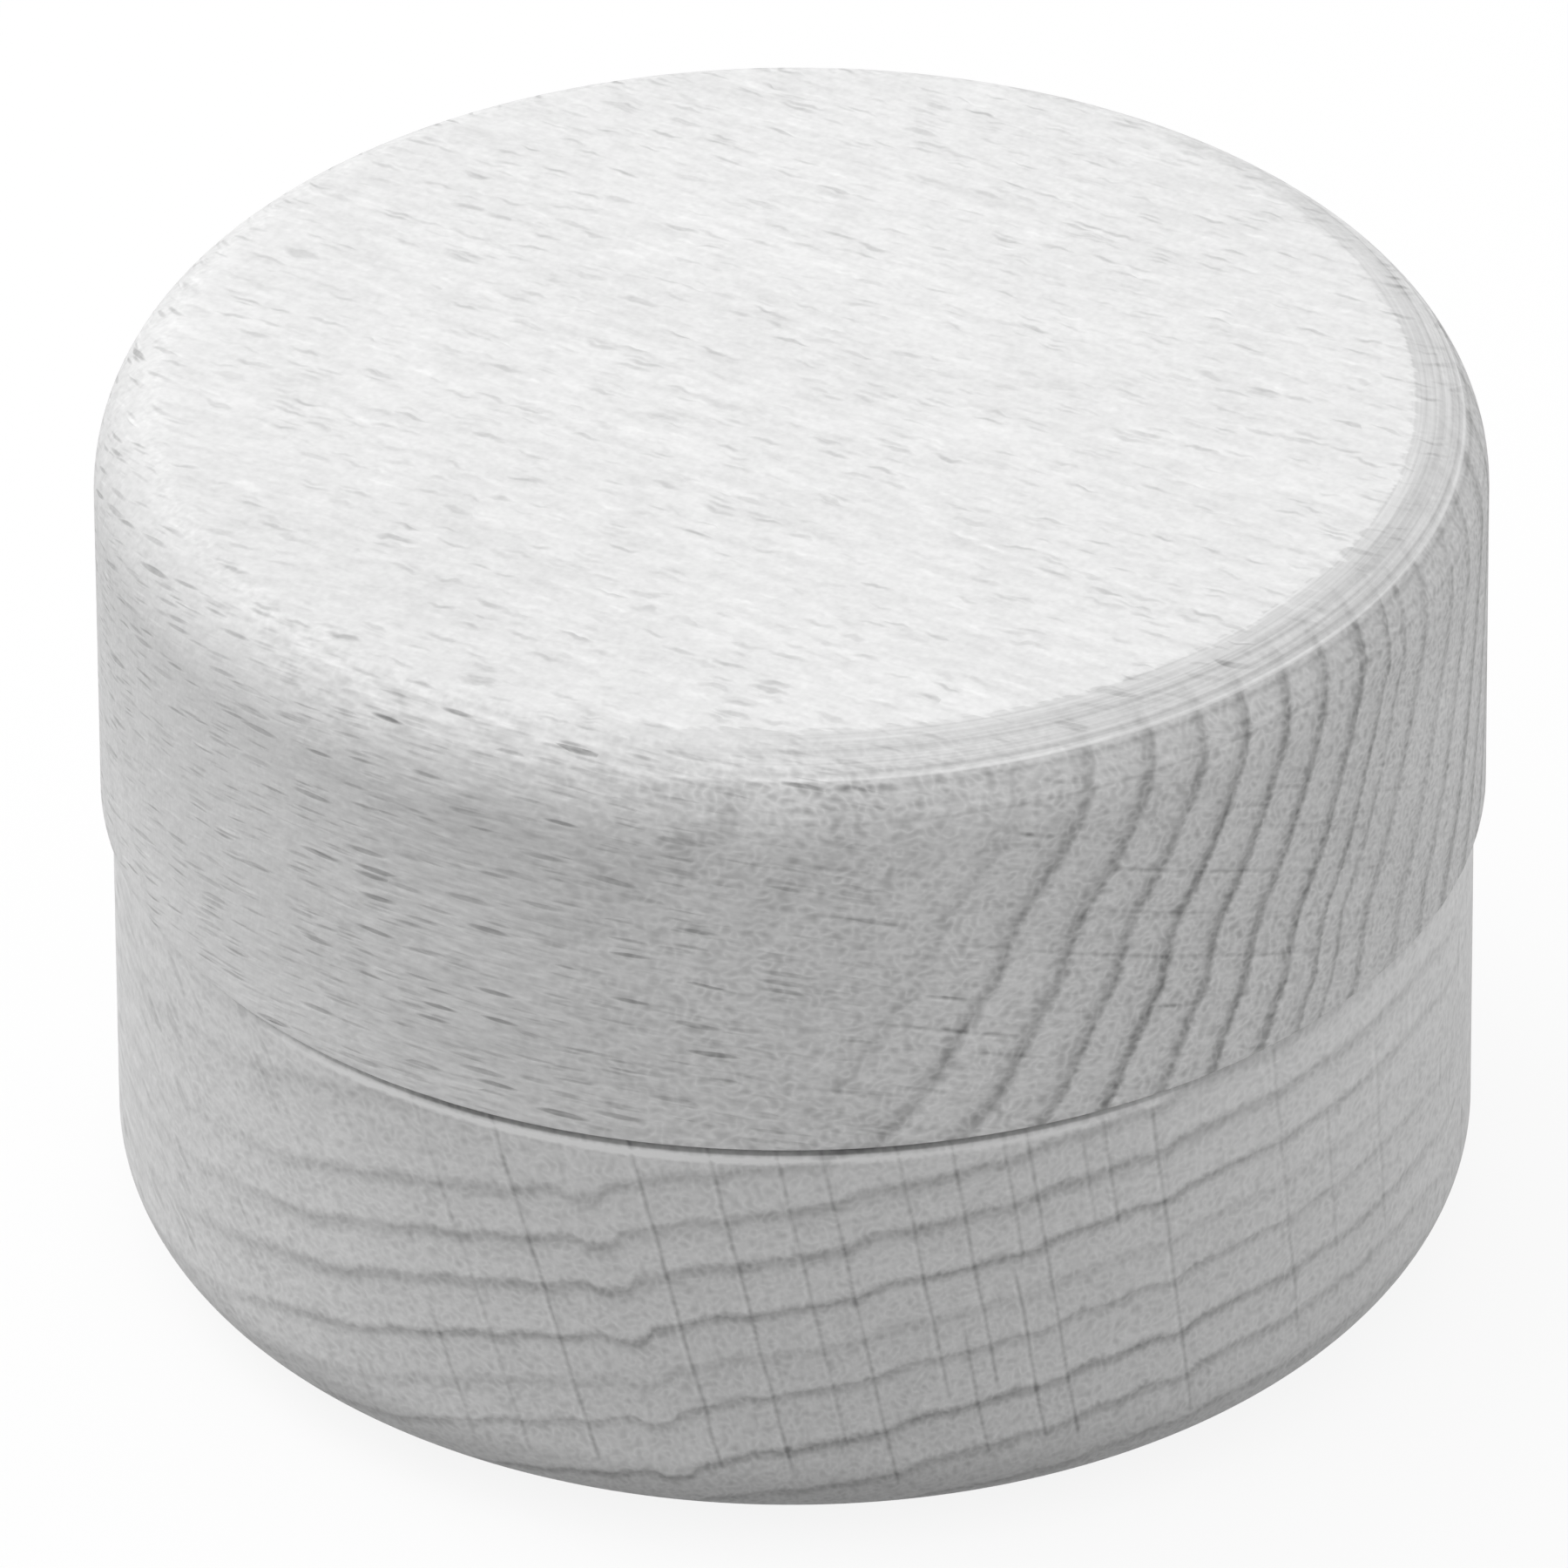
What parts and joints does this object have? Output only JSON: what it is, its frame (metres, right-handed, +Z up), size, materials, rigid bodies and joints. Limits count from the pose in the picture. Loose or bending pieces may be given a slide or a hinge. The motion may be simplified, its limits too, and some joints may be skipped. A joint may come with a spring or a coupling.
{
  "type": "jewelry jar",
  "caption": "Small round turned wooden jewelry jar: a hollow base with a spigot, a lid that lifts off it, and a felt pad in the well.",
  "frame": {"origin": "centre of the foot, on the surface that the jar stands on", "axes": "+Z up along the turning axis, -Y towards the side that the picture shows"},
  "size_m": [0.06, 0.06, 0.04],
  "materials": {
    "beech": "bare, fine sanded, pale grey",
    "felt": "matte wool felt"
  },
  "bodies": {
    "base": {"jar_base": "beech", "felt_pad": "felt"},
    "lid": {"jar_lid": "beech"}
  },
  "joints": [
    {"name": "lid_lift", "type": "slide", "parent": "base", "child": "lid", "axis": [0, 0, 1], "range_m": [0, 0.06]}
  ]
}
